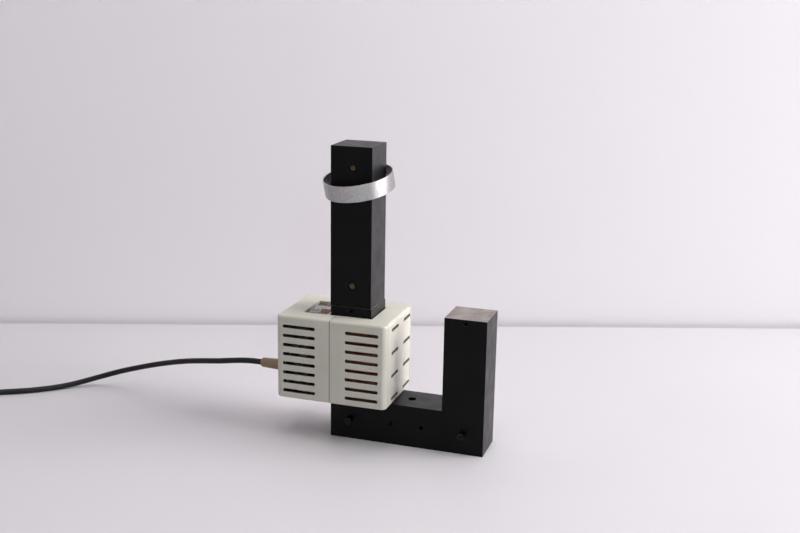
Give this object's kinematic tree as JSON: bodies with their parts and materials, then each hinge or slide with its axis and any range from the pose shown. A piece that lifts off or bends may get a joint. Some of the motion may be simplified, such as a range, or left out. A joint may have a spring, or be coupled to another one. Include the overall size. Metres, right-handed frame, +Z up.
{
  "type": "jumping ring apparatus",
  "caption": "Iron U-core with a mains coil case on its left limb, a loose square yoke bar standing on that limb, and a thin aluminium ring floating tilted round the bar.",
  "frame": {"origin": "axis of the left limb, at the surface that the core stands on", "axes": "+X from the left limb to the right limb, +Y away from the viewer, +Z up"},
  "size_m": [0.6407, 0.1303, 0.28],
  "materials": {
    "iron": "matt black varnish on laminations",
    "dark_steel": "blackened",
    "rivet_brass": "tarnished",
    "ring_aluminium": "satin",
    "case_plastic": "fine texture",
    "panel_plastic": "fine texture",
    "bright_steel": "zinc plated",
    "former_plastic": "moulded",
    "winding_copper": "enamelled copper",
    "board_laminate": "paper laminate",
    "contact_brass": "bright",
    "block_plastic": "moulded",
    "cutout_plastic": "moulded",
    "tray_plastic": "moulded",
    "rocker_plastic": "moulded",
    "lens_plastic": "translucent red",
    "neon_glass": "clear",
    "relief_rubber": "beige",
    "cord_black": "matt",
    "wire_brown": "insulation",
    "wire_blue": "insulation",
    "wire_earth": "insulation, green and yellow",
    "wire_white": "insulation",
    "plug_black": "moulded",
    "pin_plate": "nickel plated"
  },
  "bodies": {
    "core": {"u_core": "iron", "clamp_studs": "dark_steel", "mains_cord": "cord_black", "cord_coil": "cord_black", "cord_tie": "plug_black", "plug_boot": "cord_black", "plug_body": "plug_black", "plug_pins": "pin_plate", "earth_strips": "pin_plate"},
    "yoke": {"yoke": "iron", "yoke_rivets": "rivet_brass"},
    "coil": {"left_shell": "case_plastic", "right_shell": "case_plastic", "side_panel": "panel_plastic", "case_screws": "bright_steel", "coil_former": "former_plastic", "winding_core": "winding_copper", "outer_layer": "winding_copper", "divider_board": "board_laminate", "winding_tags": "contact_brass", "terminal_block": "block_plastic", "terminal_tubes": "contact_brass", "terminal_screws": "bright_steel", "thermal_cutout": "cutout_plastic", "switch_tray": "tray_plastic", "switch_body": "rocker_plastic", "switch_blades": "contact_brass", "rocker_pin": "bright_steel", "lamp_lens": "lens_plastic", "neon_lamp": "neon_glass", "strain_relief": "relief_rubber", "cord_end": "cord_black", "clamp_base": "block_plastic", "clamp_bar": "block_plastic", "clamp_screws": "bright_steel", "core_live": "wire_brown", "core_neutral": "wire_blue", "core_earth": "wire_earth", "switch_leads": "wire_white", "tag_leads": "wire_white", "winding_leads": "wire_white"},
    "rocker": {"rocker": "rocker_plastic"},
    "ring": {"ring": "ring_aluminium"}
  },
  "joints": [
    {"name": "yoke_lift", "type": "slide", "parent": "core", "child": "yoke", "axis": [0, 0, 1], "range_m": [0, 0.16]},
    {"name": "coil_lift", "type": "slide", "parent": "core", "child": "coil", "axis": [0, 0, 1], "range_m": [0, 0.095]},
    {"name": "ring_lift", "type": "slide", "parent": "coil", "child": "ring", "axis": [0, 0, 1], "range_m": [-0.108, 0.06]},
    {"name": "rocker_tilt", "type": "hinge", "parent": "coil", "child": "rocker", "pos_m": [-0.0422, 0.0013, 0.1138], "axis": [1, 0, 0], "range_deg": [0, 24]}
  ]
}
